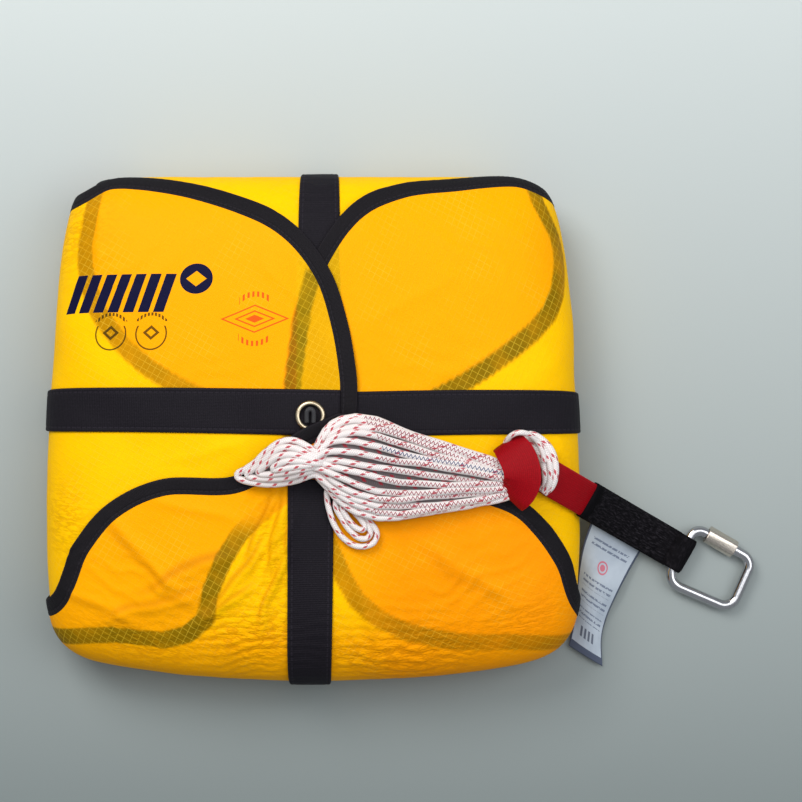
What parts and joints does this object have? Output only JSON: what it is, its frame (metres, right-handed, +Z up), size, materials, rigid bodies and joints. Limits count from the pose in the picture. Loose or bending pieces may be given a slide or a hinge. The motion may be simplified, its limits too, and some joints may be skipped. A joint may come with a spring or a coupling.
{
  "type": "packed parachute",
  "caption": "Packed reserve parachute: a soft four-flap cloth container tied shut, its line hank on top, and a sleeved bridle ending in a screw quick link.",
  "frame": {"origin": "middle of the filled pack's flat base, where it rests", "axes": "+X across the pack towards the bridle's side, +Y towards the top flap, +Z up out of the face with the closing eyelet"},
  "size_m": [0.4244, 0.3022, 0.0955],
  "materials": {
    "cloth": "satin",
    "binding": "matte",
    "tape": "matte",
    "line": "matte",
    "bridle": "matte",
    "sleeve": "matte",
    "label": "satin",
    "elastic": "matte",
    "eyelet": "satin",
    "steel": "polished"
  },
  "bodies": {
    "pack": {"pack_body": "cloth", "flap_top": "cloth", "flap_right": "cloth", "flap_left": "cloth", "flap_bottom": "cloth", "binding_top": "binding", "binding_right": "binding", "binding_left": "binding", "binding_bottom": "binding", "tape_top": "tape", "tape_right": "tape", "tape_left": "tape", "tape_bottom": "tape", "eyelet": "eyelet", "closing_elastic": "elastic", "line_hank": "line", "line_bight_outer": "line", "line_bight_inner": "line", "line_loops": "line", "bridle_hitch": "bridle", "bridle_strap": "bridle", "bridle_sleeve": "sleeve", "bridle_cuff": "sleeve", "link_bar": "steel", "label": "label"},
    "nut": {"link_nut": "steel"}
  },
  "joints": [
    {"name": "nut_slide", "type": "slide", "parent": "pack", "child": "nut", "axis": [0.8664, -0.4982, -0.0332], "range_m": [0, 0.0048]}
  ]
}
